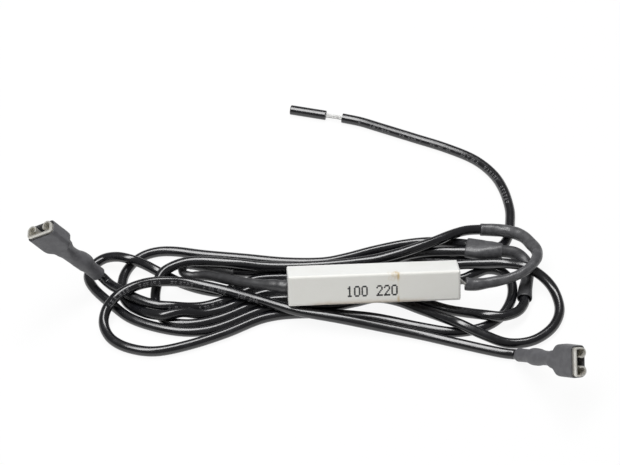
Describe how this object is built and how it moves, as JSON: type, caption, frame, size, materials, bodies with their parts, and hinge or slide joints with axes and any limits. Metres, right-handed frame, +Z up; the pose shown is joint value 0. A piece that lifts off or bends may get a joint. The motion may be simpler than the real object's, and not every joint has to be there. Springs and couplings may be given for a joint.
{
  "type": "resistor",
  "caption": "White ceramic-cased wirewound power resistor with black hook-up leads, heat-shrink splices, push-on tab receptacles and a stripped tail",
  "frame": {"origin": "centre of the ceramic case, where a spring clip would hold it", "axes": "+X along the case towards the lead with the longer grey sleeve, +Y away from the marked face, +Z up from the surface that the loom lies on"},
  "size_m": [0.1524, 0.1293, 0.0317],
  "materials": {
    "case_ceramic": "matt unglazed, warm white",
    "cement": "rough grey cement",
    "rod_ceramic": "matt white",
    "winding_alloy": "dull resistance alloy",
    "cap_steel": "plated steel",
    "tinned_lead": "tinned copper",
    "ferrule_brass": "tinned brass",
    "black_sleeve": "satin heat-shrink",
    "grey_sleeve": "matt heat-shrink",
    "pale_sleeve": "matt heat-shrink",
    "wire_insulation": "glossy black vinyl",
    "terminal_brass": "tinned brass sheet",
    "strand_copper": "tinned copper strands"
  },
  "bodies": {
    "root": {"ceramic_case": "case_ceramic", "cement_fill": "cement", "core_rod": "rod_ceramic", "resistance_winding": "winding_alloy", "end_cap_left": "cap_steel", "end_cap_right": "cap_steel", "lead_left": "tinned_lead", "lead_right": "tinned_lead", "splice_ferrule_left": "ferrule_brass", "splice_ferrule_right": "ferrule_brass", "lead_sleeve_left": "black_sleeve", "lead_sleeve_right": "grey_sleeve", "junction_crimp": "ferrule_brass", "junction_sleeve": "grey_sleeve", "junction_boot": "pale_sleeve", "link_wire": "wire_insulation", "right_terminal_wire": "wire_insulation", "left_terminal_wire": "wire_insulation", "tail_wire": "wire_insulation", "terminal_left": "terminal_brass", "terminal_right": "terminal_brass", "terminal_sleeve_left": "pale_sleeve", "terminal_sleeve_right": "pale_sleeve", "stripped_conductor": "strand_copper", "insulation_slug": "wire_insulation"}
  },
  "joints": []
}
